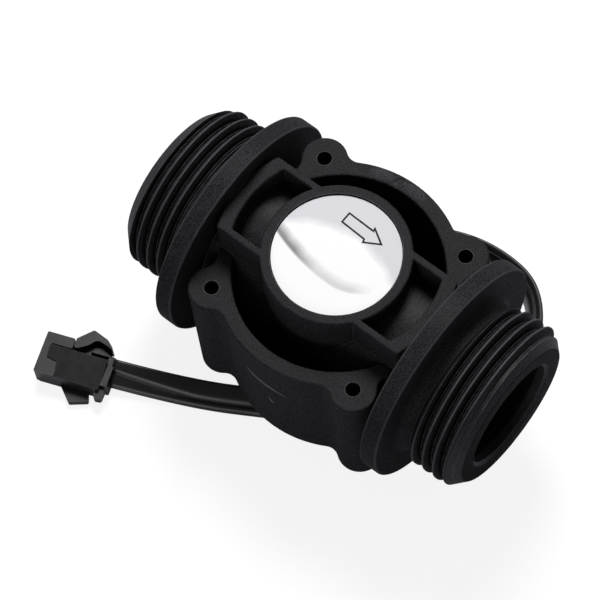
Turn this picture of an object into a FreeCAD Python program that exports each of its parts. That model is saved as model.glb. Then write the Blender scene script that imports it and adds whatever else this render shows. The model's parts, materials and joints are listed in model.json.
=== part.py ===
"""Paddle-wheel flow sensor with threaded pipe ends, a fixed shaft and a short lead with a plug.

Millimetres. +X is the flow direction along the pipe, +Z is the label side, and z = 0 is the surface
that the sensor lies on, under the middle of the pipe.
"""
import FreeCAD, Part
import math
import os

V = FreeCAD.Vector
X = V(1, 0, 0)
Y = V(0, 1, 0)
Z = V(0, 0, 1)

# Pipe and its threads: one inch parallel pipe thread, 33.25 mm over the crests
AXIS_Z = 26.0
PIPE_HALF = 38.1
BORE_R = 10.3
BORE_DEPTH = 22.1
THREAD_R = 16.62
ROOT_R = 15.15
PITCH = 2.309
ROOT_FLAT = 0.5
CREST_FLAT = 0.16
CREST_EASE = (0.12, 0.1)
THREAD_RUN_IN = 1.2
OUTLET_THREAD = (28.4, 0.0)
INLET_THREAD = (27.8, 86.5)
NECK_END = 27.6
NECK_FILLET_R = 1.8
END_FACE_R = 14.0
END_EDGE_R = 0.25
BORE_MOUTH = 0.6
COLLAR_R = 21.9
COLLAR_IN = 21.5
COLLAR_OUT = 25.0
COLLAR_EDGE_R = 0.4
COVER_FLAT = COLLAR_IN - 0.1

# Round body about the wheel's axis
SKIRT_R = 21.74
SKIRT_IN_R = 18.9
BOSS_R = 13.4
DUCT_R = 13.2
RIM_TOP = AXIS_Z + 9.9
BOSS_TOP = AXIS_Z + 17.5
SEAM_Z = AXIS_Z - 15.5
COVER_LOW = AXIS_Z - 19.5
WEB_T = 3.0
RIB_IN = 7.2
RIB_OUT = 8.6
RIB_CORNER_R = 0.7
LUG_AT = 15.88
LUG_R = 4.2
LUG_BLEND_R = 2.5
LUG_HOLE_R = 1.35
LABEL_R = 11.46
LABEL_T = 0.2
LABEL_SEAT_R = 11.65
LABEL_SEAT_T = 0.6
GATE_MARK_AT = (-2.1, 20.2)
GATE_MARK_R = 1.0
GATE_MARK_IN_R = 0.75
GATE_MARK_T = 0.25
EDGE_R = 0.35
SEAM_R = 0.2
OVERLAP = 0.5
PAST = 1.0

# Chamber, wheel and shaft
CHAMBER_R = 11.2
CHAMBER_TOP = AXIS_Z + 11.5
NOZZLE_R = 4.6
NOZZLE_Y = 5.4
SHAFT_R = 1.5
SHAFT_SEAT = 3.5
SHAFT_BOSS_H = 3.0
RUNNING_GAP = 0.05
END_GAP = 0.1
WASHER_R = 2.9
WASHER_T = 0.5
HUB_R = 4.2
HUB_BORE_R = 1.9
BUSH_R = 2.6
BUSH_L = 5.0
BLADES = 8
BLADE_R = 10.3
BLADE_T = 1.2
BLADE_EDGE_R = 0.5
BLADE_DROP = 1.5
MAGNETS = 4
MAGNET_R = 1.5
MAGNET_T = 2.0
MAGNET_AT = 6.5
MAGNET_DISC_R = 9.0
MAGNET_DISC_T = 2.8
WHEEL_LOW = SEAM_Z + SHAFT_BOSS_H + WASHER_T + END_GAP
WHEEL_TOP = CHAMBER_TOP - WASHER_T - END_GAP

# Rear cover, its seal, screws and sensor pocket
SPIGOT_R = 11.1
SPIGOT_IN_R = 9.9
SPIGOT_H = 2.5
SHAFT_BOSS_R = 3.4
SEAL_IN_R = 11.5
SEAL_OUT_R = 13.0
SEAL_T = 1.0
COVER_EDGE_R = 0.5
HEAD_R = 2.4
HEAD_T = 1.7
HEAD_EDGE_R = 0.6
DRIVE_SLOT = (2.9, 0.7)
HEAD_SEAT_R = 2.7
HEAD_SEAT_T = 2.0
SCREW_R = 1.3
SCREW_L = 13.5
SCREW_TIP = 1.5
SCREW_HOLE_R = 1.6
BOX_LOW = (-15.0, -6.0)
BOX_HIGH = (6.0, 9.0)
BOX_CORNER = 3.0
BOX_EDGE_R = 0.4
BOX_WALL = 1.6
POCKET_TOP = 8.4
LID_T = 1.2
LID_GAP = 0.1

# Circuit board and its parts
BOARD_LOW = (-12.4, -3.4)
BOARD_HIGH = (3.4, 6.4)
BOARD_T = 1.0
BOARD_Z = 5.4
BOARD_CORNER = 0.6
HALL_SIZE = (4.1, 3.0, 1.5)
HALL_AT = (-MAGNET_AT, 0.0)
LEG_SIZE = (0.45, 1.6, 0.4)
LEG_PITCH = 1.27
LEG_OUT = 2.2
CHIP_SIZE = (2.0, 1.25)
RESISTOR_T = 0.55
CAPACITOR_T = 0.9
RESISTOR_AT = (-1.0, 4.0)
CAPACITOR_AT = (-1.0, -1.0)
CORE_R = 0.5
CORE_RISE = 1.3
CORE_STEP_Y = 2.0
CORE_BEND = 0.7

# Lead: a route on the floor, and the grommet that it leaves
CABLE_D = 3.0
CABLE_FLOOR_Z = 1.55
BEND_SHARE = 0.45
GROMMET_X = -6.0
GROMMET_Z = 3.2
GROMMET_OUT = 4.0
GROMMET_BOOT = (4.0, 6.0)
GROMMET_TIP = (3.2, 5.6)
GROMMET_NECK = (2.2, 4.8)
CABLE_ROUTE = [
    (GROMMET_X, BOX_HIGH[1] + GROMMET_OUT, GROMMET_Z),
    (-6.0, 22.0, CABLE_FLOOR_Z),
    (1.5, 30.4, CABLE_FLOOR_Z),
    (13.5, 34.0, CABLE_FLOOR_Z),
    (25.0, 29.6, CABLE_FLOOR_Z),
    (30.0, 18.0, CABLE_FLOOR_Z),
    (22.5, 6.0, CABLE_FLOOR_Z),
    (9.5, -8.5, CABLE_FLOOR_Z),
    (-3.5, -18.0, CABLE_FLOOR_Z),
    (-18.0, -25.0, CABLE_FLOOR_Z),
]

# Plug: length along the lead, width across it, and height above the floor
PLUG_AT = (-31.3, -31.4)
PLUG_TURN = 200.5
PLUG_ENTRY = (0.25, 2.7)
PLUG_EDGE_R = 0.3
PLUG_SIDE = 3.85
PLATE = [
    (0.75, -1.85),
    (12.0, -1.85),
    (12.0, 0.4),
    (9.8, 0.9),
    (9.8, PLUG_SIDE, PLUG_EDGE_R),
    (0.75, PLUG_SIDE, PLUG_EDGE_R),
]
PLATE_H = 5.4
PLATE_LOW_H = 4.3
CORE_LOW = (0.75, -2.45)
CORE_HIGH = (13.0, PLUG_SIDE)
CORE_H = 3.6
FRONT_END = 13.5
FRONT = [
    (8.05, -4.45, PLUG_EDGE_R),
    (FRONT_END, -4.45, PLUG_EDGE_R),
    (FRONT_END, PLUG_SIDE, PLUG_EDGE_R),
    (9.6, PLUG_SIDE),
    (9.6, -1.6),
    (8.05, -1.6),
]
FRONT_FOOT = 0.3
FRONT_H = 4.6
FLANGE_LOW = (-0.5, -2.6)
FLANGE_HIGH = (1.0, 2.9)
FLANGE_H = 4.3
GROOVE_W = 0.55
GROOVE_FLOOR = 3.3
SHELF = [
    (-0.2, 0.0),
    (-0.2, -3.5, 0.3),
    (1.5, -3.8, 0.5),
    (2.6, -4.45, 0.5),
    (4.1, -4.6, 0.5),
    (5.2, -3.6, 0.5),
    (6.4, -2.6),
    (6.4, 0.0),
]
SHELF_H = 2.9
SHELF_SLOT_LOW = (1.1, -3.4)
SHELF_SLOT_HIGH = (4.7, -2.45)
GUARD = [(7.9, -2.0), (7.9, -4.4), (5.3, -6.7, 0.5), (2.3, -5.7, 0.8), (1.2, -4.4, 0.3), (1.2, -2.0)]
GUARD_H = 0.5
FIN = [(8.6, 3.5), (8.5, 3.9), (5.9, 6.8, 0.4), (2.4, 5.6, 0.3), (3.1, 3.5)]
FIN_H = 1.6
TAB = [(-0.2, 2.6), (1.5, 2.6), (1.3, 5.3, 0.3), (-0.1, 5.2, 0.5)]
TAB_LOW = 1.4
TAB_HIGH = 3.4
WAYS = 3
WAY_CENTRE = (0.6, 2.2)
WAY_PITCH = 2.0
WAY_SIZE = 1.7
WAY_START = 0.8
CONTACT_SIZE = 1.5
CONTACT_L = 9.0
SOCKET_SIZE = 0.7
SOCKET_L = 3.8
LATCH_PIVOT = (7.2, -3.8)
LATCH_PIN_R = 0.45
LATCH_PIN_H = 3.9
LATCH_ROOF = 0.4
LATCH_LOW = 0.7
LATCH_HIGH = 4.5
LATCH_BOW = [
    (7.9, -4.65),
    (5.3, -7.15, 0.5),
    (2.2, -6.0, 1.0),
    (1.0, -4.9, 0.3),
    (0.75, -4.3, 0.2),
    (1.7, -4.75, 0.4),
    (3.5, -5.35, 0.5),
    (4.35, -5.2, 0.4),
    (5.4, -3.95, 0.6),
    (7.0, -2.95),
    (7.6, -2.8),
    (7.9, -3.1),
]


def outline(points, place):
    """Closed wire through points (a, b) or (a, b, corner radius), put in space by place(a, b)."""
    count = len(points)
    stations = []
    for i, point in enumerate(points):
        here = V(point[0], point[1], 0)
        radius = point[2] if len(point) > 2 else 0.0
        if not radius:
            stations.append([here])
            continue
        before = V(points[i - 1][0], points[i - 1][1], 0) - here
        after = V(points[(i + 1) % count][0], points[(i + 1) % count][1], 0) - here
        half = before.getAngle(after) / 2
        before.normalize()
        after.normalize()
        inward = before + after
        inward.normalize()
        reach = radius / math.tan(half)
        depth = radius / math.sin(half) - radius
        stations.append([here + before * reach, here + inward * depth, here + after * reach])
    edges = []
    for i, station in enumerate(stations):
        if len(station) == 3:
            edges.append(Part.Arc(*[place(p.x, p.y) for p in station]).toShape())
        start = station[-1]
        end = stations[(i + 1) % count][0]
        if start.distanceToPoint(end) > 1e-6:
            edges.append(Part.makeLine(place(start.x, start.y), place(end.x, end.y)))
    return Part.Wire(edges)


def turned_z(points):
    """Solid of revolution about the wheel's axis, from (radius, z) points."""
    face = Part.Face(outline(points, lambda r, z: V(r, 0, z)))
    return face.revolve(V(), Z, 360)


def turned_x(points):
    """Solid of revolution about the pipe's axis, from (x, radius) points."""
    face = Part.Face(outline(points, lambda x, r: V(x, 0, AXIS_Z + r)))
    return face.revolve(V(0, 0, AXIS_Z), X, 360)


def prism(points, low, high):
    """Upright solid on an (x, y) outline."""
    face = Part.Face(outline(points, lambda x, y: V(x, y, low)))
    return face.extrude(Z * (high - low))


def rectangle(low, high, corner=0.0):
    (x0, y0), (x1, y1) = low, high
    return [(x, y, corner) for x, y in ((x0, y0), (x1, y0), (x1, y1), (x0, y1))]


def post(radius, low, high, at=(0.0, 0.0)):
    return Part.makeCylinder(radius, high - low, V(at[0], at[1], low), Z)


def ring(outer, inner, low, high):
    return post(outer, low, high).cut(post(inner, low, high))


def at_lugs(shape):
    """Copies of a shape modelled on the wheel's axis, one at each lug."""
    places = [V(sx * LUG_AT, sy * LUG_AT, 0) for sx in (1, -1) for sy in (1, -1)]
    return [shape.translated(place) for place in places]


def level_edges(shape, level):
    return [e for e in shape.Edges if all(abs(v.Z - level) < 1e-6 for v in e.Vertexes)]


def lugged_plate(low, high, low_edge):
    """Round plate with four lugs blended into its rim, and its lower edge rounded."""
    far = math.hypot(LUG_AT, LUG_AT)
    to_skirt = SKIRT_R + LUG_BLEND_R
    to_lug = LUG_R + LUG_BLEND_R
    spread = math.acos((far ** 2 + to_skirt ** 2 - to_lug ** 2) / (2 * far * to_skirt))

    def polar(radius, angle):
        return V(radius * math.cos(angle), radius * math.sin(angle), low)

    def blend(angle, lug_at):
        """Feet of one blend on the rim and on the lug, and its middle point between them."""
        centre = polar(to_skirt, angle)
        on_rim = polar(SKIRT_R, angle)
        on_lug = lug_at + (centre - lug_at) * (LUG_R / to_lug)
        inward = ((on_rim + on_lug) * 0.5 - centre).normalize()
        return on_rim, centre + inward * LUG_BLEND_R, on_lug

    edges = []
    quarter = math.pi / 2
    for i in range(4):
        middle = quarter * (i + 0.5)
        lug_at = polar(far, middle)
        rim_a, bend_a, lug_a = blend(middle - spread, lug_at)
        rim_b, bend_b, lug_b = blend(middle + spread, lug_at)
        edges.append(Part.Arc(rim_a, bend_a, lug_a).toShape())
        edges.append(Part.Arc(lug_a, polar(far + LUG_R, middle), lug_b).toShape())
        edges.append(Part.Arc(lug_b, bend_b, rim_b).toShape())
        next_rim = polar(SKIRT_R, middle + quarter - spread)
        edges.append(Part.Arc(rim_b, polar(SKIRT_R, middle + quarter / 2), next_rim).toShape())
    plate = Part.Face(Part.Wire(edges)).extrude(Z * (high - low))
    return plate.makeFillet(low_edge, level_edges(plate, low))


def joined(shapes):
    return shapes[0].multiFuse(shapes[1:]).removeSplitter()


def half_turn(shape):
    """The same piece at the other pipe end, with the same hand of thread."""
    other = shape.copy()
    other.rotate(V(), Z, 180)
    return other


def thread_groove(start):
    """Helical groove about Z, from its middle at start to past the end face."""
    root_half = ROOT_FLAT / 2
    length = PIPE_HALF + PITCH - start
    drop, ease = CREST_EASE
    crest_half = (PITCH - CREST_FLAT) / 2
    flank_half = crest_half - ease
    past_r = THREAD_R + 0.1
    profile = [
        (ROOT_R, -root_half),
        (THREAD_R - drop, -flank_half),
        (past_r, -crest_half),
        (past_r, crest_half),
        (THREAD_R - drop, flank_half),
        (ROOT_R, root_half),
    ]
    helix = Part.makeHelix(PITCH, length, ROOT_R)
    section = outline(profile, lambda r, s: V(r, 0, s))
    return Part.Wire(helix).makePipeShell([section], True, True).translated(Z * start)


def pipe_end(thread_start, thread_turn):
    """Collar, neck and threaded end on the outlet side, still without its bore.

    It is turned and threaded upright, with its length along Z, and then laid along the pipe.
    """
    chamfer = THREAD_R - END_FACE_R
    end = turned_z([
        (0, COLLAR_IN),
        (COLLAR_R, COLLAR_IN, COLLAR_EDGE_R),
        (COLLAR_R, COLLAR_OUT, COLLAR_EDGE_R),
        (ROOT_R, COLLAR_OUT, NECK_FILLET_R),
        (ROOT_R, NECK_END),
        (THREAD_R, NECK_END + THREAD_RUN_IN),
        (THREAD_R, PIPE_HALF - chamfer),
        (END_FACE_R, PIPE_HALF, END_EDGE_R),
        (0, PIPE_HALF),
    ]).cut(thread_groove(thread_start))
    end.rotate(V(), Z, thread_turn)
    end.rotate(V(), Y, 90)
    return end.translated(Z * AXIS_Z)


def crown():
    """Label boss with the ribs and end walls beside it, down to the pipe's axis."""
    block = prism(rectangle((-SKIRT_R, -RIB_OUT), (SKIRT_R, RIB_OUT)), AXIS_Z, BOSS_TOP)
    block = block.common(post(SKIRT_R, AXIS_Z, BOSS_TOP))
    corners = [e for e in block.Edges if all(abs(abs(v.Y) - RIB_OUT) < 1e-6 for v in e.Vertexes)]
    block = block.makeFillet(RIB_CORNER_R, [e for e in corners if e.BoundBox.ZLength > 1])
    pocket = ring(SKIRT_IN_R, BOSS_R, AXIS_Z, BOSS_TOP)
    pocket = pocket.common(prism(rectangle((-SKIRT_R, -RIB_IN), (SKIRT_R, RIB_IN)), AXIS_Z, BOSS_TOP))
    top = joined([block.cut(pocket), post(BOSS_R, SEAM_Z, BOSS_TOP)])
    return top.makeFillet(EDGE_R, level_edges(top, BOSS_TOP))


def body():
    skirt = lugged_plate(SEAM_Z, RIM_TOP, SEAM_R).cut(post(SKIRT_IN_R, SEAM_Z, RIM_TOP))
    skirt = skirt.makeFillet(EDGE_R, level_edges(skirt, RIM_TOP))
    duct = Part.makeCylinder(DUCT_R, 2 * COLLAR_IN, V(-COLLAR_IN, 0, AXIS_Z), X)
    web = post(SKIRT_IN_R + OVERLAP, SEAM_Z, SEAM_Z + WEB_T)
    outlet = pipe_end(*OUTLET_THREAD)
    inlet = half_turn(pipe_end(*INLET_THREAD))
    solid = joined([crown(), skirt, web, duct, outlet, inlet])
    bore = turned_x([
        (PIPE_HALF - BORE_DEPTH, 0),
        (PIPE_HALF - BORE_DEPTH, BORE_R),
        (PIPE_HALF - BORE_MOUTH, BORE_R),
        (PIPE_HALF + BORE_MOUTH, BORE_R + 2 * BORE_MOUTH),
        (PIPE_HALF + BORE_MOUTH, 0),
    ])
    nozzle_l = PIPE_HALF - BORE_DEPTH + OVERLAP
    nozzle = Part.makeCylinder(NOZZLE_R, 2 * nozzle_l, V(-nozzle_l, NOZZLE_Y, AXIS_Z), X)
    gate_mark = ring(GATE_MARK_R, GATE_MARK_IN_R, RIM_TOP - GATE_MARK_T, RIM_TOP + PAST)
    hollows = [
        bore,
        half_turn(bore),
        nozzle,
        post(CHAMBER_R, SEAM_Z - PAST, CHAMBER_TOP),
        post(SHAFT_R, CHAMBER_TOP - PAST, CHAMBER_TOP + SHAFT_SEAT),
        post(LABEL_SEAT_R, BOSS_TOP - LABEL_SEAT_T, BOSS_TOP + PAST),
        gate_mark.translated(V(*GATE_MARK_AT, 0)),
    ]
    hollows += at_lugs(post(LUG_HOLE_R, SEAM_Z - PAST, RIM_TOP + PAST))
    for hollow in hollows:
        solid = solid.cut(hollow)
    return solid


def label():
    seat = BOSS_TOP - LABEL_SEAT_T
    return post(LABEL_R, seat, seat + LABEL_T)


def rear_cover():
    plate = lugged_plate(COVER_LOW, SEAM_Z, COVER_EDGE_R)
    plate = plate.makeFillet(SEAM_R, level_edges(plate, SEAM_Z))
    between = rectangle((-COVER_FLAT, -2 * SKIRT_R), (COVER_FLAT, 2 * SKIRT_R))
    plate = plate.common(prism(between, COVER_LOW, SEAM_Z))
    box = prism(rectangle(BOX_LOW, BOX_HIGH, BOX_CORNER), 0, COVER_LOW + OVERLAP)
    box = box.makeFillet(BOX_EDGE_R, level_edges(box, 0))
    spigot = ring(SPIGOT_R, SPIGOT_IN_R, SEAM_Z - OVERLAP, SEAM_Z + SPIGOT_H)
    boss = post(SHAFT_BOSS_R, SEAM_Z - OVERLAP, SEAM_Z + SHAFT_BOSS_H)
    solid = joined([plate, box, spigot, boss])
    hollows = [
        ring(SEAL_OUT_R, SEAL_IN_R, SEAM_Z - SEAL_T, SEAM_Z),
        post(SHAFT_R, SEAM_Z + SHAFT_BOSS_H - SHAFT_SEAT, SEAM_Z + SHAFT_BOSS_H),
        pocket_prism(0, -PAST, POCKET_TOP),
        oval(GROMMET_NECK, BOX_HIGH[1] - BOX_WALL - PAST, BOX_HIGH[1] + PAST),
    ]
    hollows += at_lugs(post(SCREW_HOLE_R, COVER_LOW - PAST, SEAM_Z + PAST))
    hollows += at_lugs(post(HEAD_SEAT_R, COVER_LOW - PAST, COVER_LOW + HEAD_SEAT_T))
    for hollow in hollows:
        solid = solid.cut(hollow)
    return solid


def pocket_prism(gap, low, high):
    """The sensor pocket's inside, smaller all round by gap."""
    inset = BOX_WALL + gap
    inner_low = (BOX_LOW[0] + inset, BOX_LOW[1] + inset)
    inner_high = (BOX_HIGH[0] - inset, BOX_HIGH[1] - inset)
    return prism(rectangle(inner_low, inner_high, BOX_CORNER - inset), low, high)


def oval(size, start, end, end_size=None):
    """Round-sided bar along Y at the grommet, size (wide, tall), tapering to end_size."""
    def section(wide_tall, y):
        wide, tall = (s / 2 for s in wide_tall)
        points = rectangle((-wide, -tall), (wide, tall), wide * 0.99)
        return outline(points, lambda a, b: V(GROMMET_X + a, y, GROMMET_Z + b))
    return Part.makeLoft([section(size, start), section(end_size or size, end)], True, True)


def cable_grommet():
    wall_in = BOX_HIGH[1] - BOX_WALL
    boot = oval(GROMMET_BOOT, BOX_HIGH[1], BOX_HIGH[1] + GROMMET_OUT, GROMMET_TIP)
    return boot.fuse(oval(GROMMET_NECK, wall_in, BOX_HIGH[1]))


def cover_seal():
    return ring(SEAL_OUT_R, SEAL_IN_R, SEAM_Z - SEAL_T, SEAM_Z)


def cover_screws():
    seat = COVER_LOW + HEAD_SEAT_T
    screw = turned_z([
        (0, seat - HEAD_T),
        (HEAD_R, seat - HEAD_T, HEAD_EDGE_R),
        (HEAD_R, seat),
        (SCREW_R, seat),
        (SCREW_R, seat + SCREW_L - SCREW_TIP),
        (0, seat + SCREW_L),
    ])
    for wide, deep in (DRIVE_SLOT, DRIVE_SLOT[::-1]):
        slot = rectangle((-wide / 2, -deep / 2), (wide / 2, deep / 2))
        screw = screw.cut(prism(slot, COVER_LOW - PAST, seat - HEAD_T / 2))
    return Part.makeCompound(at_lugs(screw))


def wheel_magnets():
    magnet = post(MAGNET_R, WHEEL_LOW, WHEEL_LOW + MAGNET_T, (MAGNET_AT, 0))
    return [magnet.rotated(V(), Z, i * 360 / MAGNETS) for i in range(MAGNETS)]


def impeller():
    hub = post(HUB_R, WHEEL_LOW, WHEEL_TOP)
    disc = turned_z([
        (0, WHEEL_LOW),
        (MAGNET_DISC_R, WHEEL_LOW, EDGE_R),
        (MAGNET_DISC_R, WHEEL_LOW + MAGNET_DISC_T, EDGE_R),
        (0, WHEEL_LOW + MAGNET_DISC_T),
    ])
    half = BLADE_T / 2
    blade_plan = [(0, -half), (BLADE_R, -half, BLADE_EDGE_R), (BLADE_R, half, BLADE_EDGE_R), (0, half)]
    blade = prism(blade_plan, WHEEL_LOW + MAGNET_DISC_T - OVERLAP, WHEEL_TOP - BLADE_DROP)
    blades = [blade.rotated(V(), Z, (i + 0.5) * 360 / BLADES) for i in range(BLADES)]
    wheel = joined([hub, disc] + blades)
    hollows = wheel_magnets() + [
        post(BUSH_R, WHEEL_LOW - PAST, WHEEL_LOW + BUSH_L),
        post(BUSH_R, WHEEL_TOP - BUSH_L, WHEEL_TOP + PAST),
        post(HUB_BORE_R, WHEEL_LOW, WHEEL_TOP),
    ]
    for hollow in hollows:
        wheel = wheel.cut(hollow)
    return wheel


def bush(low):
    return ring(BUSH_R, SHAFT_R + RUNNING_GAP, low, low + BUSH_L)


def thrust_washer(low):
    return ring(WASHER_R, SHAFT_R + RUNNING_GAP, low, low + WASHER_T)


def impeller_shaft():
    return post(SHAFT_R, SEAM_Z + SHAFT_BOSS_H - SHAFT_SEAT, CHAMBER_TOP + SHAFT_SEAT)


def block_at(at, size, low):
    """Small box on its centre, size (x, y, z)."""
    return Part.makeBox(size[0], size[1], size[2], V(at[0] - size[0] / 2, at[1] - size[1] / 2, low))


def sensor_board():
    return prism(rectangle(BOARD_LOW, BOARD_HIGH, BOARD_CORNER), BOARD_Z, BOARD_Z + BOARD_T)


def hall_sensor():
    """Flat sensor package with three short legs on the board."""
    top = BOARD_Z + BOARD_T
    package = block_at(HALL_AT, HALL_SIZE, top)
    places = [(HALL_AT[0] + i * LEG_PITCH, HALL_AT[1] - LEG_OUT) for i in (-1, 0, 1)]
    return joined([package] + [block_at(place, LEG_SIZE, top) for place in places])


def bent_rod(points, radius, bends):
    """Round rod along straight runs joined by tangent arcs, one bend radius per inner point."""
    edges = []
    start = points[0]
    for before, corner, after, bend in zip(points, points[1:], points[2:], bends):
        back = (before - corner).normalize()
        ahead = (after - corner).normalize()
        half = back.getAngle(ahead) / 2
        reach = bend / math.tan(half)
        inward = (back + ahead).normalize()
        arc_mid = corner + inward * (bend / math.sin(half) - bend)
        edges.append(Part.makeLine(start, corner + back * reach))
        edges.append(Part.Arc(corner + back * reach, arc_mid, corner + ahead * reach).toShape())
        start = corner + ahead * reach
    edges.append(Part.makeLine(start, points[-1]))
    path = Part.Wire(edges)
    section = Part.Wire(Part.makeCircle(radius, points[0], points[1] - points[0]))
    return path.makePipeShell([section], True, False), path.Length


def core_wires():
    """Three cores, one over another at the grommet, each bent up to its own pad."""
    wall_in = BOX_HIGH[1] - BOX_WALL
    cores = []
    for i in range(WAYS):
        z = GROMMET_Z + (1 - i) * CORE_RISE
        pad_y = wall_in - CORE_STEP_Y * (i + 1)
        points = [V(GROMMET_X, wall_in, z), V(GROMMET_X, pad_y, z), V(GROMMET_X, pad_y, BOARD_Z)]
        cores.append(bent_rod(points, CORE_R, [CORE_BEND])[0])
    return Part.makeCompound(cores)


def on_plug(shape):
    """A shape modelled with x along the plug, y across it and z up, put where the plug lies."""
    shape.rotate(V(), Z, PLUG_TURN)
    shape.translate(V(PLUG_AT[0], PLUG_AT[1], 0))
    return shape


def signal_cable():
    entry = on_plug(Part.Vertex(0, PLUG_ENTRY[0], PLUG_ENTRY[1])).Point
    points = [V(*p) for p in CABLE_ROUTE] + [entry]
    bends = []
    for before, corner, after in zip(points, points[1:], points[2:]):
        turn = math.pi - (before - corner).getAngle(after - corner)
        shorter = min(before.distanceToPoint(corner), after.distanceToPoint(corner))
        bends.append(BEND_SHARE * shorter / math.tan(turn / 2))
    tube, length = bent_rod(points, CABLE_D / 2, bends)
    section = math.pi * CABLE_D ** 2 / 4
    print("cable length", round(length, 2), "bend radii", [round(b, 1) for b in bends])
    print("cable volume", round(tube.Volume, 2), "section times length", round(section * length, 2))
    return tube.cut(cable_grommet()).cut(plug_housing())


def plug_ways(size, start, end, lift=0.0):
    """Square bars along the plug, one per contact, lifted off the floor of the contact's way."""
    middle, level = WAY_CENTRE
    low = level - WAY_SIZE / 2 + lift
    bars = []
    for i in range(WAYS):
        across = middle + (i - 1) * WAY_PITCH
        bars.append(Part.makeBox(end - start, size, size, V(start, across - size / 2, low)))
    return bars


def plug_housing():
    """Stepped plug body: sloped plate, wing, shelf beside the release lever, and the lever's pin."""
    plate_u, plate_v = PLATE[0]
    plate_end = PLATE[1][0]
    shelf = prism(SHELF, 0, SHELF_H)
    blocks = [
        prism(rectangle(CORE_LOW, CORE_HIGH, PLUG_EDGE_R), 0, CORE_H),
        prism(FRONT, FRONT_FOOT, FRONT_H),
        prism(rectangle(FLANGE_LOW, FLANGE_HIGH, PLUG_EDGE_R), 0, FLANGE_H),
        shelf.cut(prism(rectangle(SHELF_SLOT_LOW, SHELF_SLOT_HIGH), GUARD_H, SHELF_H)),
        prism(GUARD, 0, GUARD_H),
        prism(FIN, 0, FIN_H),
        prism(TAB, TAB_LOW, TAB_HIGH),
    ]
    solid = joined(blocks)
    groove = prism(rectangle((plate_u, plate_v - GROOVE_W), (plate_end, plate_v)), GROOVE_FLOOR, PLATE_H)
    for hollow in [groove] + plug_ways(WAY_SIZE, WAY_START, FRONT_END + PAST):
        solid = solid.cut(hollow)
    slope = [
        (plate_v, GROOVE_FLOOR),
        (plate_v, PLATE_H),
        (PLUG_SIDE, PLATE_LOW_H),
        (PLUG_SIDE, GROOVE_FLOOR),
    ]
    side = Part.Face(outline(slope, lambda v, z: V(plate_u, v, z)))
    plate = prism(PLATE, GROOVE_FLOOR, PLATE_H).common(side.extrude(X * (plate_end - plate_u)))
    pin = post(LATCH_PIN_R, 0, LATCH_PIN_H, LATCH_PIVOT)
    return on_plug(joined([solid, plate, pin]))


def plug_contacts():
    end = WAY_START + CONTACT_L
    bars = plug_ways(CONTACT_SIZE, WAY_START, end)
    sockets = plug_ways(SOCKET_SIZE, end - SOCKET_L, end + PAST, (CONTACT_SIZE - SOCKET_SIZE) / 2)
    return on_plug(Part.makeCompound([bar.cut(hole) for bar, hole in zip(bars, sockets)]))


def plug_latch():
    """Bowed release lever on the plug's side, turning on the plug's pin."""
    lever = prism(LATCH_BOW, LATCH_LOW, LATCH_HIGH)
    bore = post(LATCH_PIN_R + RUNNING_GAP, LATCH_LOW - PAST, LATCH_HIGH - LATCH_ROOF, LATCH_PIVOT)
    return on_plug(lever.cut(bore))


NODES = {
    "body": body,
    "rear_cover": rear_cover,
    "label": label,
    "cover_seal": cover_seal,
    "cover_screws": cover_screws,
    "impeller": impeller,
    "impeller_magnets": lambda: Part.makeCompound(wheel_magnets()),
    "upper_bush": lambda: bush(WHEEL_TOP - BUSH_L),
    "lower_bush": lambda: bush(WHEEL_LOW),
    "impeller_shaft": impeller_shaft,
    "upper_thrust_washer": lambda: thrust_washer(CHAMBER_TOP - WASHER_T),
    "lower_thrust_washer": lambda: thrust_washer(SEAM_Z + SHAFT_BOSS_H),
    "sensor_board": sensor_board,
    "hall_sensor": hall_sensor,
    "board_resistor": lambda: block_at(RESISTOR_AT, CHIP_SIZE + (RESISTOR_T,), BOARD_Z - RESISTOR_T),
    "board_capacitor": lambda: block_at(CAPACITOR_AT, CHIP_SIZE + (CAPACITOR_T,), BOARD_Z - CAPACITOR_T),
    "core_wires": core_wires,
    "pocket_lid": lambda: pocket_prism(LID_GAP, 0, LID_T),
    "cable_grommet": cable_grommet,
    "signal_cable": signal_cable,
    "plug_housing": plug_housing,
    "plug_contacts": plug_contacts,
    "plug_latch": plug_latch,
}

os.makedirs("parts", exist_ok=True)
for name, make in NODES.items():
    shape = make()
    box = shape.BoundBox
    print(name, len(shape.Solids), "solids, valid", shape.isValid(), "volume", round(shape.Volume, 1))
    print("   box", [round(c, 2) for c in (box.XMin, box.YMin, box.ZMin, box.XMax, box.YMax, box.ZMax)])
    shape.exportStep("parts/" + name + ".step")
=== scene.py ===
"""Looks of the flow sensor: finishes, flat lead, label, marks of moulding, floor, light and camera."""
import json
import math
import bpy
from mathutils import Matrix, Vector


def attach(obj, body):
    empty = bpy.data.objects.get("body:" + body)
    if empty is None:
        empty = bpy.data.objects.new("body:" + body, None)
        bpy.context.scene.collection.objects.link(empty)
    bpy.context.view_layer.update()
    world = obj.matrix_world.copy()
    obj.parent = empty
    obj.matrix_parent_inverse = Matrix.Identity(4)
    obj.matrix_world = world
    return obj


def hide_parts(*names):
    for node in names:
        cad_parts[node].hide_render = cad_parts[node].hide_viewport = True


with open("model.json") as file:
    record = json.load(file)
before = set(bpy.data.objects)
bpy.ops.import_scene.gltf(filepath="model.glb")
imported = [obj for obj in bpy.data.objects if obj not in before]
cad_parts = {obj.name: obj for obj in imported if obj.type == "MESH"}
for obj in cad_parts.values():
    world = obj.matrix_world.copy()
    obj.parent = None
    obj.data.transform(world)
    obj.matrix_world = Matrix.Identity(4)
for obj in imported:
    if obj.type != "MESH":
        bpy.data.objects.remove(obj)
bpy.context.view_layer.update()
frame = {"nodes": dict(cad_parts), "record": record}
nodes = frame["nodes"]
scene = bpy.context.scene
scene.view_settings.view_transform = "Standard"

MM = 0.001

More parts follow.
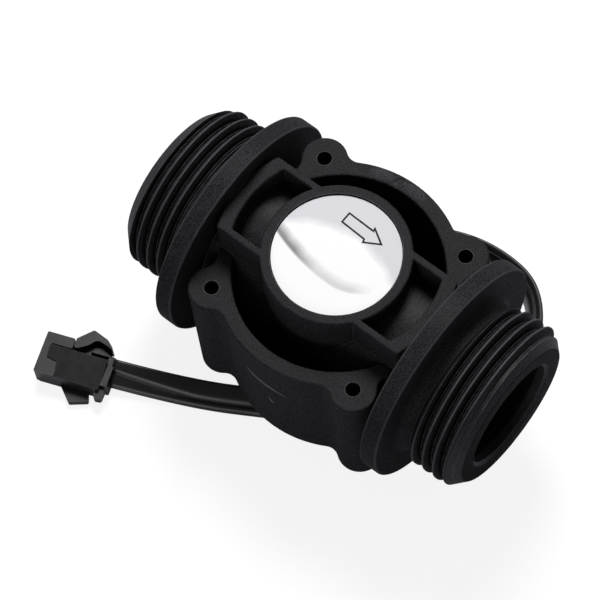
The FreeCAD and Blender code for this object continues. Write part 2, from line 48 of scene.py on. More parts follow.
# Camera: its place, and the view's right and down directions
CAMERA_AT = (0.16584, -0.16716, 0.55047)
VIEW_RIGHT = (0.776918, 0.626743, -0.059926)
VIEW_DOWN = (0.554854, -0.726555, -0.405284)
SENSOR_W = 36.0
LENS = 193.42

# Light: each lamp's name, place, size and power, the point they face, and the light from all round
LAMPS = [("overhead", (-0.24, 0.345, 0.68), 0.3, 6.0), ("front", (0.15, -0.8, 0.22), 0.3, 1.4)]
LAMPS_FACE = (0.0, 0.0, 0.025)
WORLD_STRENGTH = 0.18
WHITE = (1.0, 1.0, 1.0, 1.0)

# Floor: its width and height, its grey, and its grey and glow as the camera and as reflections see it
FLOOR_WIDTH = 6.0
FLOOR_Z = -0.00002
FLOOR_GREY = 0.55
FLOOR_SEEN = (0.2, 0.86)
FLOOR_MIRRORED = (0.9, 0.1)

# Lead: the control points of its route in millimetres, and points of the smooth line for each
LEAD_EXIT = (-6.0, 13.0, 3.2)
LEAD_ROUTE = [
    LEAD_EXIT,
    (-6.0, 22.0, 3.0),
    (-1.0, 27.6, 3.0),
    (9.8, 31.2, 3.0),
    (21.9, 29.6, 3.0),
    (28.2, 17.9, 2.9),
    (21.8, 6.0, 2.5),
    (9.5, -8.6, 1.9),
    (-4.3, -17.6, 1.9),
    (-18.2, -25.4, 1.9),
    (-31.3, -30.9, 2.8),
]
LEAD_STEPS = 24
# Lead: corners (across, up) of its section, a broad lobe beside a small one, along it and at the plug
LEAD_SECTION = [
    (-2.75, 0.2),
    (-2.72, 1.08),
    (-2.2, 1.15),
    (-0.7, 1.15),
    (0.2, 1.02),
    (0.85, 0.58),
    (1.0, 0.2),
    (1.08, 0.08),
    (1.22, 0.25),
    (1.8, 0.28),
    (2.5, -0.2),
    (2.72, -1.05),
    (1.6, -1.1),
    (-1.6, -1.1),
    (-2.65, -0.9),
]
PLUG_END_SECTION = [
    (-2.75, 0.2),
    (-2.72, 1.12),
    (-2.1, 1.2),
    (-1.5, 1.25),
    (-0.9, 1.15),
    (-0.4, 0.75),
    (-0.2, 0.4),
    (0.0, 0.35),
    (0.8, 0.35),
    (2.1, 0.15),
    (2.6, -0.6),
    (2.6, -1.05),
    (1.6, -1.1),
    (-1.6, -1.1),
    (-2.65, -0.9),
]
SECTION_STEPS = 4
PLUG_END_FROM = 0.875
# Lead: shares of its length, and degrees that the flat section is turned up on its edge there
LEAD_TURN = [(0.0, 90), (0.12, 88), (0.3, 80), (0.42, 55), (0.55, 30), (0.66, 6), (0.8, -19), (1.0, -18)]
# Lead: where it passes into its duller loop, in millimetres across the pipe
LOOP_FROM = (-5.0, 10.0)

# Body: spans over which a mask rises from nothing, of a normal's share first and then in millimetres
UPPER_RISE = (0.5, 0.9)
FLANK_LEAN = (0.55, 0.75)
THREAD_SPANS = ((27.6, 27.9), (36.2, 35.9))
THREAD_ROOT = (16.0, 15.5)
THREAD_CREST = (16.38, 16.52)
PIPE_Z = 26.0
COLLAR_EDGE = (21.45, 21.65)
COLLAR_IN_SPANS = ((21.3, 21.4), (21.9, 21.7))
COLLAR_OUT = (24.6, 24.8)
CHAMFER_FROM = (35.5, 36.0)
END_FACE = (38.08, 37.9)
POCKET_SIDE = (7.25, 7.1)
POCKET_HEIGHT_SPANS = ((42.0, 41.0), (36.0, 36.5))
POCKET_END = (21.6, 21.3)
# Body: a thread flank's share of a root's painted shade, and how far painted shade and painted highlight
# change colour
FLANK_OF_ROOT = 0.12
PAINTED_SHADE_SHARE = 0.7
PAINTED_HIGHLIGHT_SHARE = 0.25

# Finishes: the tint of greys, spans of each noise or measure that are used, and patch sizes in millimetres
GREY_TINT = (1.0, 0.99, 1.09)
SPECK_SPAN = (0.38, 0.62)
SOFT_SPAN = (0.3, 0.7)
EDGE_BREAK_SPAN = (0.35, 0.65)
EDGE_BREAK_PATCH = 1.2
EDGE_COSINES = (0.995, 0.86)
OPEN_SPAN = (0.92, 0.55)
EDGE_RAYS = 6
ROUGH_SPREAD = 0.05
STREAK_STRETCH = (1.0, 1.0, 12.0)
STREAK_PATCH = 0.6
STREAK_DEPTH = 0.004
STREAK_SPREAD = 0.06

# Label: a foil disc with a shallow fold across it, in millimetres about its middle
LABEL_R = 11.46
LABEL_TOP = 43.1
LABEL_T = 0.15
LABEL_STEPS = 128
LABEL_RINGS = 30
# Label: a line's height, its middle, and how much it bows to the left and to the right
FOLD_LINE = (-5.35, 2.3, 0.0135, 0.058)
CLOUD_LINE = (4.6, 1.0, -0.03, -0.03)
FOLD_WIDTH = 2.6
FOLD_RISE = 0.08
FOLD_FADE = (9.0, -7.0)
# Label: colours, the cloud's lavender being a painted reflection and the fold's grey a painted shade, and
# spans in millimetres over which the cloud and the fold come and go
FOIL_COLOUR = (0.93, 0.93, 0.935, 1.0)
FOLD_SHADE_COLOUR = (0.27, 0.26, 0.27, 1.0)
CLOUD_REFLECTION_COLOUR = (0.67, 0.665, 0.7, 1.0)
CLOUD_PATCH = 2.5
CLOUD_WANDER = (-0.35, 0.35)
CLOUD_EDGE = (-0.9, 0.9)
FOLD_LOW = (-0.1, 0.35)
FOLD_HIGH = (FOLD_WIDTH, 0.7)
FOLD_WANDER = 0.5
FOLD_LEFT = (-1.0, -6.5)
FOLD_STRENGTHS = (0.42, 1.0)
FOLD_END = (9.4, 6.2)
FOIL_ROUGH = (0.45, 0.55)
FOIL_PATCH = 0.3
FOIL_DEPTH = 0.004

# Label print: corners of the flow arrow, and the width and thickness of its ink
ARROW = [
    (-3.35, 5.4),
    (1.85, 5.1),
    (2.05, 4.4),
    (5.3, 6.25),
    (2.0, 8.3),
    (2.1, 7.6),
    (-3.35, 7.8),
]
ARROW_R = 4.0
ARROW_LINE = 0.33
INK_T = 0.02

# Swellings of the rim: angles round it that each one covers, and their sizes in millimetres
RIM_Z = 35.9
SWELLINGS = [(99.5, 113.0), (80.0, 93.0)]
SWELLING_R = 20.5
SWELLING_W = 2.1
SWELLING_H = 0.14
SWELLING_STEPS = 32
SWELLING_RINGS = 16

# Scuffs of the wall: each one's thickness and its (x, z) places, and how blunt their tips are
SKIRT_R = 21.74
SCUFFS = [
    (0.62, [(-4.4, 26.8), (-3.2, 27.0), (-1.9, 27.1), (-0.4, 26.9), (1.3, 26.7), (3.0, 26.2), (4.6, 25.8)]),
    (0.4, [(0.6, 21.2), (0.8, 20.8), (1.1, 20.2), (1.4, 19.7), (1.6, 19.4)]),
]
SCUFF_TIP = 0.3
SCUFF_ROUNDNESS = 3


# Shader helpers

def add_node(tree, kind, inputs=None, **settings):
    """New shader node with its settings, and its inputs given as values or as sockets to link."""
    node = tree.nodes.new(kind)
    for name, value in settings.items():
        setattr(node, name, value)
    for key, value in (inputs or {}).items():
        if isinstance(value, bpy.types.NodeSocket):
            tree.links.new(value, node.inputs[key])
        else:
            node.inputs[key].default_value = value
    return node


def maths(tree, operation, a, b=0.0):
    return add_node(tree, "ShaderNodeMath", {0: a, 1: b}, operation=operation).outputs[0]


def both(tree, a, b):
    """Product of two masks or values."""
    return maths(tree, "MULTIPLY", a, b)


def either(tree, a, b):
    """Larger of two masks."""
    return maths(tree, "MAXIMUM", a, b)


def outside(tree, mask):
    return maths(tree, "SUBTRACT", 1.0, mask)


def ramp(tree, value, low, high, to_low=0.0, to_high=1.0):
    """Value stretched from one span to another, and held at its ends."""
    sockets = {"Value": value, "From Min": low, "From Max": high, "To Min": to_low, "To Max": to_high}
    return add_node(tree, "ShaderNodeMapRange", sockets).outputs["Result"]


def within(tree, value, *spans):
    """Mask of the places where a value is past every one of the given spans."""
    mask = ramp(tree, value, *spans[0])
    for span in spans[1:]:
        mask = both(tree, mask, ramp(tree, value, *span))
    return mask


def tint(tree, share, first, second):
    """Mix of two colours; a Mix node's colour sockets have no names of their own."""
    return add_node(tree, "ShaderNodeMix", {0: share, 6: first, 7: second}, data_type="RGBA").outputs[2]


def grey(value):
    return tuple(value * part for part in GREY_TINT) + (1.0,)


BLACK = grey(0.0)


def group(name, inputs, outputs):
    """Empty shader node group with float inputs (name, default) and float outputs."""
    tree = bpy.data.node_groups.new(name, "ShaderNodeTree")
    for label, default in inputs:
        socket = tree.interface.new_socket(label, in_out="INPUT", socket_type="NodeSocketFloat")
        socket.default_value = default
    for label in outputs:
        tree.interface.new_socket(label, in_out="OUTPUT", socket_type="NodeSocketFloat")
    return tree, tree.nodes.new("NodeGroupInput").outputs, tree.nodes.new("NodeGroupOutput").inputs


def use_group(tree, which, **values):
    node = tree.nodes.new("ShaderNodeGroup")
    node.node_tree = which
    for name, value in values.items():
        node.inputs[name.replace("_", " ")].default_value = value
    return node.outputs


def own_place(tree):
    """A point's place in its piece's own coordinates, in metres."""
    return add_node(tree, "ShaderNodeTexCoord").outputs["Object"]


def own_place_mm(tree):
    """The same place as its X, Y and Z in millimetres."""
    spot = add_node(tree, "ShaderNodeSeparateXYZ", {0: own_place(tree)}).outputs
    return [maths(tree, "DIVIDE", spot[axis], MM) for axis in "XYZ"]


def noise(tree, place, patch, detail=2.0, rough=0.5):
    """Noise whose patches have a size in millimetres, given as a number or as a socket."""
    if isinstance(patch, bpy.types.NodeSocket):
        scale = maths(tree, "DIVIDE", 1.0 / MM, patch)
    else:
        scale = 1.0 / (patch * MM)
    sockets = {"Vector": place, "Scale": scale, "Detail": detail, "Roughness": rough}
    return add_node(tree, "ShaderNodeTexNoise", sockets).outputs["Fac"]


def bump(tree, height, depth):
    sockets = {"Height": height, "Distance": depth * MM, "Strength": 1.0}
    return add_node(tree, "ShaderNodeBump", sockets).outputs["Normal"]


# Effects that finishes share

def moulded_grain():
    """Fine sandy grain as a height and as specks, with broad soft mottling."""
    sizes = [("Grain Size", 0.2), ("Mottle Size", 2.0)]
    tree, given, out = group("moulded_grain", sizes, ["Height", "Speck", "Mottle"])
    place = own_place(tree)
    sand = noise(tree, place, given["Grain Size"], detail=3.0, rough=0.6)
    broad = noise(tree, place, given["Mottle Size"], detail=4.0, rough=0.6)
    tree.links.new(sand, out["Height"])
    tree.links.new(ramp(tree, sand, *SPECK_SPAN), out["Speck"])
    tree.links.new(ramp(tree, broad, *SOFT_SPAN), out["Mottle"])
    return tree


def edge_wear_and_highlight():
    """How near a point is to a sharp edge, broken up along it; edges are painted paler with it, as wear and
    as painted highlight.
    """
    tree, given, out = group("edge_wear_and_highlight", [("Reach", 0.15), ("Break", 0.6)], ["Edge"])
    reach = both(tree, given["Reach"], MM)
    rounded = add_node(tree, "ShaderNodeBevel", {"Radius": reach}, samples=EDGE_RAYS).outputs["Normal"]
    true = add_node(tree, "ShaderNodeNewGeometry").outputs["Normal"]
    dot = add_node(tree, "ShaderNodeVectorMath", {0: rounded, 1: true}, operation="DOT_PRODUCT")
    sharp = ramp(tree, dot.outputs["Value"], *EDGE_COSINES)
    patches = ramp(tree, noise(tree, own_place(tree), EDGE_BREAK_PATCH, detail=3.0), *EDGE_BREAK_SPAN)
    kept = outside(tree, both(tree, patches, given["Break"]))
    tree.links.new(both(tree, sharp, kept), out["Edge"])
    return tree


def crevice_shade():
    """How open a point lies to its surroundings, from nearby faces of the same piece; closed places get
    painted shade.
    """
    tree, given, out = group("crevice_shade", [("Reach", 1.3), ("Shade", 0.5)], ["Open"])
    reach = both(tree, given["Reach"], MM)
    settings = {"samples": EDGE_RAYS, "only_local": True}
    local = add_node(tree, "ShaderNodeAmbientOcclusion", {"Distance": reach}, **settings)
    deep = ramp(tree, local.outputs["AO"], *OPEN_SPAN)
    tree.links.new(outside(tree, both(tree, deep, given["Shade"])), out["Open"])
    return tree


def body_places():
    """The body's sheen on upper faces, chamfers and pockets; painted shade on its thread roots, flanks and
    ends; painted highlight on its rims and crests.
    """
    sheens = [("Upper", 0.06), ("Chamfers", 0.22), ("Pockets", 0.15)]
    tree, given, out = group("body_places", sheens, ["Gloss", "Painted_Shade", "Painted_Highlight"])
    along, across, high = (maths(tree, "ABSOLUTE", side) for side in own_place_mm(tree))
    facing = add_node(tree, "ShaderNodeNewGeometry").outputs["Normal"]
    lean = add_node(tree, "ShaderNodeSeparateXYZ", {0: facing}).outputs
    over_pipe = maths(tree, "SUBTRACT", high, PIPE_Z)
    squares = [both(tree, side, side) for side in (across, over_pipe)]
    from_pipe = maths(tree, "SQRT", maths(tree, "ADD", *squares))
    on_thread = within(tree, along, *THREAD_SPANS)
    before_end = ramp(tree, along, *END_FACE)

    # Painted highlight: collar rims and thread crests are made paler.
    edges = either(tree, within(tree, along, *COLLAR_IN_SPANS), ramp(tree, along, *COLLAR_OUT))
    rim = both(tree, edges, ramp(tree, from_pipe, *COLLAR_EDGE))
    crest = both(tree, on_thread, ramp(tree, from_pipe, *THREAD_CREST))
    tree.links.new(either(tree, rim, crest), out["Painted_Highlight"])

    # Painted shade: thread roots, their flanks and the end face are made darker.
    root = ramp(tree, from_pipe, *THREAD_ROOT)
    steep = ramp(tree, maths(tree, "ABSOLUTE", lean["X"]), *FLANK_LEAN)
    sunk = either(tree, root, both(tree, steep, FLANK_OF_ROOT))
    tree.links.new(either(tree, both(tree, on_thread, sunk), outside(tree, before_end)), out["Painted_Shade"])

    upper = both(tree, ramp(tree, lean["Z"], *UPPER_RISE), outside(tree, both(tree, on_thread, root)))
    chamfers = both(tree, ramp(tree, along, *CHAMFER_FROM), before_end)
    inside = both(tree, ramp(tree, across, *POCKET_SIDE), ramp(tree, along, *POCKET_END))
    pockets = both(tree, inside, within(tree, high, *POCKET_HEIGHT_SPANS))
    gloss = both(tree, upper, given["Upper"])
    for mask, name in ((chamfers, "Chamfers"), (pockets, "Pockets")):
        gloss = either(tree, gloss, both(tree, mask, given[name]))
    tree.links.new(gloss, out["Gloss"])
    return tree


def lead_places():
    """The lead's sheen, less where it goes round its loop."""
    tree, given, out = group("lead_places", [("Straight", 0.6), ("Loop", 0.3)], ["Gloss"])
    across = own_place_mm(tree)[1]
    tree.links.new(ramp(tree, across, *LOOP_FROM, given["Straight"], given["Loop"]), out["Gloss"])
    return tree


GRAIN = moulded_grain()
EDGE_WEAR_AND_HIGHLIGHT = edge_wear_and_highlight()
CREVICE_SHADE = crevice_shade()


# Finishes

def finish(name, **values):
    """New material with one Principled shader, whose plain values are set on its own sockets."""
    material = bpy.data.materials.new(name)
    material.use_nodes = True
    tree = material.node_tree
    shader = tree.nodes["Principled BSDF"]
    for label, value in values.items():
        shader.inputs[label.replace("_", " ")].default_value = value
    return material, tree, shader.inputs


def moulded(name, dark, light, edge, rough, grain=0.22, depth=0.02, reach=0.15, sandy=0.3, shade=0.3,
            places=None, **values):
    """Moulded plastic or rubber: specked and mottled, with edges painted paler as wear and painted
    highlight, crevices painted darker as painted shade, and fine grain.
    """
    material, tree, shader = finish(name, **values)
    surface = use_group(tree, GRAIN, Grain_Size=grain)
    wear_and_highlight = use_group(tree, EDGE_WEAR_AND_HIGHLIGHT, Reach=reach)
    painted_shade = use_group(tree, CREVICE_SHADE, Shade=shade)
    specks = both(tree, surface["Speck"], sandy)
    share = maths(tree, "ADD", specks, both(tree, surface["Mottle"], 1.0 - sandy))
    # Crevices and recesses are painted darker towards black: painted shade.
    colour = tint(tree, painted_shade["Open"], BLACK, tint(tree, share, dark, light))
    if places:
        mask = use_group(tree, places)
        tree.links.new(mask["Gloss"], shader["Coat Weight"])
        # Places of painted shade go towards black, and places of painted highlight towards the edge tone.
        for label, most, tone in (("Painted_Shade", PAINTED_SHADE_SHARE, BLACK), ("Painted_Highlight", PAINTED_HIGHLIGHT_SHARE, edge)):
            if label in mask:
                colour = tint(tree, both(tree, mask[label], most), colour, tone)
    spread = (rough - ROUGH_SPREAD, rough + ROUGH_SPREAD)
    # Edges are painted towards the edge tone, as wear and as painted highlight.
    tree.links.new(tint(tree, wear_and_highlight["Edge"], colour, edge), shader["Base Color"])
    tree.links.new(ramp(tree, surface["Mottle"], 0.0, 1.0, *spread), shader["Roughness"])
    tree.links.new(bump(tree, surface["Height"], depth), shader["Normal"])
    return material


def metal(name, dark, light, rough):
    """Metal with fine streaks along one axis."""
    material, tree, shader = finish(name, Metallic=1.0)
    stretch = {"Vector": own_place(tree), "Scale": STREAK_STRETCH}
    drawn = add_node(tree, "ShaderNodeMapping", stretch).outputs["Vector"]
    lines = ramp(tree, noise(tree, drawn, STREAK_PATCH, detail=4.0), *SOFT_SPAN)
    spread = (rough - STREAK_SPREAD, rough + STREAK_SPREAD)
    tree.links.new(tint(tree, lines, dark, light), shader["Base Color"])
    tree.links.new(ramp(tree, lines, 0.0, 1.0, *spread), shader["Roughness"])
    tree.links.new(bump(tree, lines, STREAK_DEPTH), shader["Normal"])
    return material


def silver_foil():
    """Silver label foil: near white, with a lavender cloud round the arrow as a painted reflection, and a
    darker band along the fold as painted shade.
    """
    material, tree, shader = finish("silver_foil", Specular_IOR_Level=0.04)
    place = own_place(tree)
    x, y, _ = own_place_mm(tree)
    cloudy = noise(tree, place, CLOUD_PATCH, detail=4.0)
    wander = ramp(tree, cloudy, *SOFT_SPAN, *CLOUD_WANDER)

    def over_line(height, middle, *bows):
        """Height of a point above a line across the label, bowed to the left and right, in millimetres."""
        from_middle = maths(tree, "SUBTRACT", x, middle)
        above = maths(tree, "SUBTRACT", y, height)
        for side, bow in zip(("MINIMUM", "MAXIMUM"), bows):
            off = maths(tree, side, from_middle, 0.0)
            rise = both(tree, both(tree, off, off), bow)
            above = maths(tree, "SUBTRACT", above, rise)
        return above

    # The lavender cloud is a painted reflection and the grey band along the fold is painted shade.
    over_cloud = maths(tree, "ADD", over_line(*CLOUD_LINE), wander)
    pale = tint(tree, ramp(tree, over_cloud, *CLOUD_EDGE), FOIL_COLOUR, CLOUD_REFLECTION_COLOUR)
    over_fold = over_line(*FOLD_LINE)
    wavy = maths(tree, "ADD", over_fold, both(tree, wander, FOLD_WANDER))
    height = both(tree, ramp(tree, over_fold, *FOLD_LOW), ramp(tree, wavy, *FOLD_HIGH))
    length = both(tree, ramp(tree, x, *FOLD_LEFT, *FOLD_STRENGTHS), ramp(tree, x, *FOLD_END))
    tree.links.new(tint(tree, both(tree, height, length), pale, FOLD_SHADE_COLOUR), shader["Base Color"])
    tree.links.new(ramp(tree, cloudy, *SOFT_SPAN, *FOIL_ROUGH), shader["Roughness"])
    tree.links.new(bump(tree, noise(tree, place, FOIL_PATCH), FOIL_DEPTH), shader["Normal"])
    return material


# Moulded finishes: dark and light tones, the tone that edges are painted towards as wear and as painted
# highlight, and roughness
MOULDED = {
    "black_nylon": (grey(0.002), grey(0.037), grey(0.14), 0.62),
    # The rim's swellings are lighter than the rim: a painted sheen.
    "sheen_painted_nylon": (grey(0.008), grey(0.075), grey(0.036), 0.55),
    # Scuff lines: pale as a scuff, and painted paler still as the highlight along the line.
    "scuff_highlight_nylon": (grey(0.07), grey(0.16), grey(0.16), 0.6),
    "cable_jacket": (grey(0.008), grey(0.011), grey(0.015), 0.37),
    "plug_plastic": (grey(0.010), grey(0.017), grey(0.08), 0.44),
    "arrow_ink": (grey(0.004), grey(0.008), grey(0.008), 0.5),
    "seal_rubber": (grey(0.02), grey(0.03), grey(0.05), 0.75),
    "grommet_rubber": (grey(0.016), grey(0.024), grey(0.05), 0.65),
    "wheel_plastic": (grey(0.66), grey(0.75), grey(0.85), 0.45),
    "washer_plastic": (grey(0.72), grey(0.8), grey(0.88), 0.4),
    "board": ((0.01, 0.09, 0.03, 1), (0.015, 0.13, 0.045, 1), (0.2, 0.2, 0.1, 1), 0.35),
    "chip_resin": (grey(0.015), grey(0.025), grey(0.05), 0.5),
    "capacitor_ceramic": ((0.3, 0.18, 0.08, 1), (0.4, 0.26, 0.13, 1), grey(0.5), 0.5),
    "core_insulation": ((0.28, 0.015, 0.01, 1), (0.38, 0.03, 0.02, 1), grey(0.4), 0.4),
}
# What some of them have of their own: sizes in millimetres, shares of specks and shade, and shader values
MOULDED_OWN = {
    "black_nylon": {
        "grain": 0.19,
        "reach": 0.2,
        "sandy": 0.85,
        "shade": 0.62,
        "places": body_places(),
        "Specular_IOR_Level": 0.012,
        "Coat_Roughness": 0.48,
    },
    "sheen_painted_nylon": {"grain": 0.2, "sandy": 0.85, "Specular_IOR_Level": 0.03},
    "scuff_highlight_nylon": {"grain": 0.15, "Specular_IOR_Level": 0.05},
    "cable_jacket": {
        "grain": 0.5,
        "depth": 0.004,
        "places": lead_places(),
        "Specular_IOR_Level": 0.1,
        "Coat_Roughness": 0.37,
    },
    "plug_plastic": {"Specular_IOR_Level": 0.24},
    "arrow_ink": {"depth": 0.002, "Specular_IOR_Level": 0.1},
}
# Metal finishes: dark and light tones, and roughness
METALS = {
    "screw_steel": (grey(0.42), grey(0.6), 0.32),
    "magnet": (grey(0.5), grey(0.62), 0.2),
    "bush_bronze": ((0.4, 0.24, 0.1, 1), (0.55, 0.36, 0.18, 1), 0.42),
    "shaft_steel": (grey(0.5), grey(0.66), 0.22),
    "contact_brass": ((0.5, 0.36, 0.14, 1), (0.66, 0.5, 0.24, 1), 0.28),
}
FINISHES = {"silver_foil": silver_foil()}
for finish_name, tones in MOULDED.items():
    FINISHES[finish_name] = moulded(finish_name, *tones, **MOULDED_OWN.get(finish_name, {}))
for finish_name, tones in METALS.items():
    FINISHES[finish_name] = metal(finish_name, *tones)

SLOT_OF = {part["node"]: part["material_slot"] for part in frame["record"]["subparts"]}
for node_name, node_object in nodes.items():
    node_object.data.materials.clear()
    node_object.data.materials.append(FINISHES[SLOT_OF[node_name]])


# Modelling helpers

def deselect():
    bpy.ops.object.select_all(action="DESELECT")


def pick(piece):
    deselect()
    piece.select_set(True)
    bpy.context.view_layer.objects.active = piece


def edit_all():
    """Go into edit mode with every face selected."""
    bpy.ops.object.mode_set(mode="EDIT")
    bpy.ops.mesh.select_mode(type="FACE")
    bpy.ops.mesh.select_all(action="SELECT")


def edit_done():
    bpy.ops.object.mode_set(mode="OBJECT")


def face_outwards(piece):
    """Turn the faces of a closed piece outwards."""
    pick(piece)
    edit_all()
    bpy.ops.mesh.normals_make_consistent(inside=False)
    edit_done()


def thicken(piece, thickness, offset):
    """Give a sheet its thickness in millimetres, below it (offset -1) or to both sides (0)."""
    wall = piece.modifiers.new("thickness", "SOLIDIFY")
    wall.thickness = thickness * MM
    wall.offset = offset
    bpy.ops.object.modifier_apply(modifier=wall.name)


def put_down(piece):
    """Leave a piece at the origin, with its place in its mesh."""
    pick(piece)
    bpy.ops.object.transform_apply(location=True, rotation=True, scale=True)


def take_on(piece, finish_name):
    """Put a finish on a piece that rides on the housing."""
    piece.data.materials.append(FINISHES[finish_name])
    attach(piece, "housing")


def part_way(value, start, end):
    """How far a value is from one number to another, held between 0 and 1."""
    return min(max((value - start) / (end - start), 0.0), 1.0)


# Flat lead

def smooth_line(places, steps, closed=False):
    """Points along a smooth line, read from the spline whose control points are given in millimetres."""
    curve = bpy.data.curves.new("line", "CURVE")
    curve.dimensions = "3D"
    curve.resolution_u = steps
    spline = curve.splines.new("NURBS")
    spline.points.add(len(places) - 1)
    for point, place in zip(spline.points, places):
        point.co = [c * MM for c in place] + [1.0]
    spline.order_u = 3
    spline.use_endpoint_u = not closed
    spline.use_cyclic_u = closed
    holder = bpy.data.objects.new("line", curve)
    scene.collection.objects.link(holder)
    mesh = bpy.data.meshes.new_from_object(holder)
    points = [v.co.copy() for v in mesh.vertices]
    bpy.data.objects.remove(holder)
    bpy.data.meshes.remove(mesh)
    return points


def section_outline(corners):
    """Smooth outline of a section of the lead, as (across, up) in metres."""
    flat = [(across, up, 0.0) for across, up in corners]
    return [(p.x, p.y) for p in smooth_line(flat, SECTION_STEPS, closed=True)]


def turned_at(share):
    """How far the section is turned at a share of the lead's length, in radians."""
    for (s0, a0), (s1, a1) in zip(LEAD_TURN, LEAD_TURN[1:]):
        if share <= s1:
            t = part_way(share, s0, s1)
            t = t * t * (3 - 2 * t)
            return math.radians(a0 + (a1 - a0) * t)
    return math.radians(LEAD_TURN[-1][1])


def lead_rings(line):
    """Rings of points along the lead's line, each a section turned as the lead lies there."""
    plain, at_plug = section_outline(LEAD_SECTION), section_outline(PLUG_END_SECTION)
    travelled = [0.0]
    for a, b in zip(line, line[1:]):
        travelled.append(travelled[-1] + (b - a).length)
    rings = []
    for i, point in enumerate(line):
        ahead = (line[min(i + 1, len(line) - 1)] - line[max(i - 1, 0)]).normalized()
        left = Vector((0, 0, 1)).cross(ahead).normalized()
        up = ahead.cross(left)
        share = travelled[i] / travelled[-1]
        turn = turned_at(share)
        across = left * math.cos(turn) + up * math.sin(turn)
        over = up * math.cos(turn) - left * math.sin(turn)
        near_plug = part_way(share, PLUG_END_FROM, 1.0)
        ring = []
        for (u0, w0), (u1, w1) in zip(plain, at_plug):
            u = u0 + (u1 - u0) * near_plug
            w = w0 + (w1 - w0) * near_plug
            ring.append(point + across * u + over * w)
        rings.append(ring)
    return rings


def flat_lead():
    """Flat lead from the grommet to the plug, a closed tube along the smooth line of its route."""
    line = smooth_line(LEAD_ROUTE, LEAD_STEPS)
    rings = lead_rings(line)
    count = len(rings[0])
    verts = [point for ring in rings for point in ring]
    faces = []
    for start in range(0, len(verts) - count, count):
        for k in range(count):
            n = (k + 1) % count
            faces.append((start + k, start + n, start + count + n, start + count + k))
    faces.append(tuple(range(count)))
    faces.append(tuple(reversed(range(len(verts) - count, len(verts)))))
    mesh = bpy.data.meshes.new("flat_lead")
    mesh.from_pydata(verts, [], faces)
    lead = bpy.data.objects.new("flat_lead", mesh)
    scene.collection.objects.link(lead)
    face_outwards(lead)
    bpy.ops.object.shade_smooth()
    take_on(lead, "cable_jacket")
    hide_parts("signal_cable")


# Label and its print

def start_disc(name, corners, radius):
    """Flat disc to start a piece from, with its radius in millimetres."""
    deselect()
    bpy.ops.mesh.primitive_circle_add(vertices=corners, radius=radius * MM, fill_type="NGON")
    disc = bpy.context.object
    disc.name = name
    return disc


def fold_height(x, y):
    """Rise of the foil over its fold, in millimetres."""
    height, middle, bow_left, bow_right = FOLD_LINE
    bow = bow_left if x < middle else bow_right
    off = (y - height - bow * (x - middle) ** 2) / (FOLD_WIDTH / 2)
    return FOLD_RISE * part_way(x, *FOLD_FADE) * math.exp(-off * off)


def foil_label():
    """Foil disc in the boss, ringed finely enough to carry its fold."""
    disc = start_disc("foil_label", LABEL_STEPS, LABEL_R)
    edit_all()
    for _ in range(LABEL_RINGS):
        bpy.ops.mesh.inset(thickness=LABEL_R * MM / (LABEL_RINGS + 1), depth=0.0)
    edit_done()
    for vertex in disc.data.vertices:
        vertex.co.z = (LABEL_TOP + fold_height(vertex.co.x / MM, vertex.co.y / MM)) * MM
    thicken(disc, LABEL_T, -1.0)
    bpy.ops.object.shade_smooth_by_angle()
    put_down(disc)
    take_on(disc, "silver_foil")
    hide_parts("label")


def flow_arrow():
    """Outline of an arrow in ink on the label."""
    arrow = start_disc("flow_arrow", len(ARROW), ARROW_R)
    for vertex, (x, y) in zip(arrow.data.vertices, ARROW):
        vertex.co = (x * MM, y * MM, (LABEL_TOP + INK_T / 2) * MM)
    edit_all()
    bpy.ops.mesh.inset(thickness=ARROW_LINE * MM, depth=0.0)
    bpy.ops.mesh.delete(type="FACE")
    edit_done()
    thicken(arrow, INK_T, 0.0)
    put_down(arrow)
    take_on(arrow, "arrow_ink")


# Marks of moulding: swellings of the rim beside the gate, and scuffs on the front wall

def rim_swellings():
    """Low domes on the rim, each bent round it from one angle to another."""
    for k, (start, end) in enumerate(SWELLINGS):
        deselect()
        bpy.ops.mesh.primitive_uv_sphere_add(segments=SWELLING_STEPS, ring_count=SWELLING_RINGS, radius=1.0)
        dome = bpy.context.object
        dome.name = f"rim_swelling_{k + 1}"
        middle = math.radians((start + end) / 2)
        half = math.radians((end - start) / 2)
        for vertex in dome.data.vertices:
            x, y, z = vertex.co
            angle = middle + half * x
            out = SWELLING_R + SWELLING_W / 2 * y
            rise = SWELLING_H * z * abs(z) ** 3
            vertex.co = (out * math.cos(angle) * MM, out * math.sin(angle) * MM, (RIM_Z + rise) * MM)
        face_outwards(dome)
        bpy.ops.object.shade_smooth()
        put_down(dome)
        # Their lighter finish is a painted sheen.
        take_on(dome, "sheen_painted_nylon")


def wall_scuffs():
    """Thin raised lines on the skirt's wall, each thick in its middle and thin at its tips."""
    for k, (thick, places) in enumerate(SCUFFS):
        deselect()
        bpy.ops.curve.primitive_nurbs_path_add()
        scuff = bpy.context.object
        scuff.name = f"wall_scuff_{k + 1}"
        spline = scuff.data.splines[0]
        spline.points.add(len(places) - len(spline.points))
        for i, (point, (x, z)) in enumerate(zip(spline.points, places)):
            on_wall = (x, -math.sqrt(SKIRT_R ** 2 - x * x), z)
            point.co = [c * MM for c in on_wall] + [1.0]
            point.radius = math.sin(math.pi * (i + SCUFF_TIP) / (len(places) - 1 + 2 * SCUFF_TIP))
        spline.order_u = 3
        spline.use_endpoint_u = True
        scuff.data.bevel_depth = thick / 2 * MM
        scuff.data.bevel_resolution = SCUFF_ROUNDNESS
        scuff.data.use_fill_caps = True
        bpy.ops.object.convert(target="MESH")
        bpy.ops.object.shade_smooth()
        put_down(scuff)
        # Their pale finish is partly a scuff's own colour and partly a painted highlight.
        take_on(scuff, "scuff_highlight_nylon")


# Floor, light and camera

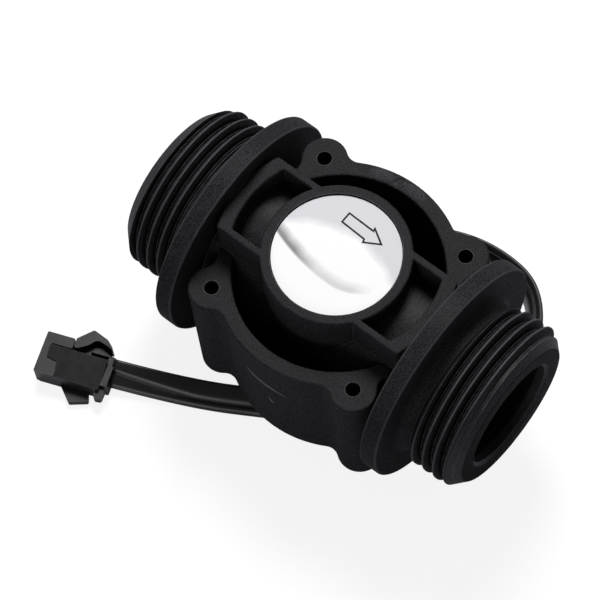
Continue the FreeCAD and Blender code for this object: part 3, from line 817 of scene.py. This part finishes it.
def floor():
    """Plain floor: grey to the light, and near white, with a glow, to the camera and in reflections."""
    deselect()
    bpy.ops.mesh.primitive_plane_add(size=FLOOR_WIDTH, location=(0, 0, FLOOR_Z))
    ground = bpy.context.object
    ground.name = "floor"
    material = bpy.data.materials.new("floor")
    material.use_nodes = True
    tree = material.node_tree
    tree.nodes.clear()
    path = add_node(tree, "ShaderNodeLightPath").outputs
    mirrored = either(tree, path["Is Glossy Ray"], path["Is Transmission Ray"])
    looks = add_node(tree, "ShaderNodeBsdfDiffuse", {"Color": grey(FLOOR_GREY)}).outputs[0]
    for seen, (tone, glow) in ((path["Is Camera Ray"], FLOOR_SEEN), (mirrored, FLOOR_MIRRORED)):
        dull = add_node(tree, "ShaderNodeBsdfDiffuse", {"Color": grey(tone)}).outputs[0]
        pale = add_node(tree, "ShaderNodeEmission", {"Color": WHITE, "Strength": glow}).outputs[0]
        white = add_node(tree, "ShaderNodeAddShader", {0: dull, 1: pale}).outputs[0]
        looks = add_node(tree, "ShaderNodeMixShader", {0: seen, 1: looks, 2: white}).outputs[0]
    add_node(tree, "ShaderNodeOutputMaterial", {"Surface": looks})
    ground.data.materials.append(material)


def soft_lamp(name, place, size, power):
    bpy.ops.object.light_add(type="AREA", location=place)
    lamp = bpy.context.object
    lamp.name = name
    lamp.data.shape = "DISK"
    lamp.data.size = size
    lamp.data.energy = power
    lamp.rotation_euler = (Vector(LAMPS_FACE) - Vector(place)).to_track_quat("-Z", "Y").to_euler()


def light():
    for lamp in LAMPS:
        soft_lamp(*lamp)
    world = bpy.data.worlds.new("studio")
    world.use_nodes = True
    back = world.node_tree.nodes["Background"].inputs
    back["Color"].default_value = WHITE
    back["Strength"].default_value = WORLD_STRENGTH
    scene.world = world


def camera():
    right, down = Vector(VIEW_RIGHT), Vector(VIEW_DOWN)
    forward = right.cross(down)
    data = bpy.data.cameras.new("camera")
    data.sensor_width = SENSOR_W
    data.lens = LENS
    eye = bpy.data.objects.new("camera", data)
    scene.collection.objects.link(eye)
    turn = Matrix((right, -down, -forward)).transposed().to_4x4()
    eye.matrix_world = Matrix.Translation(CAMERA_AT) @ turn
    scene.camera = eye


flat_lead()
foil_label()
flow_arrow()
rim_swellings()
wall_scuffs()
floor()
light()
camera()
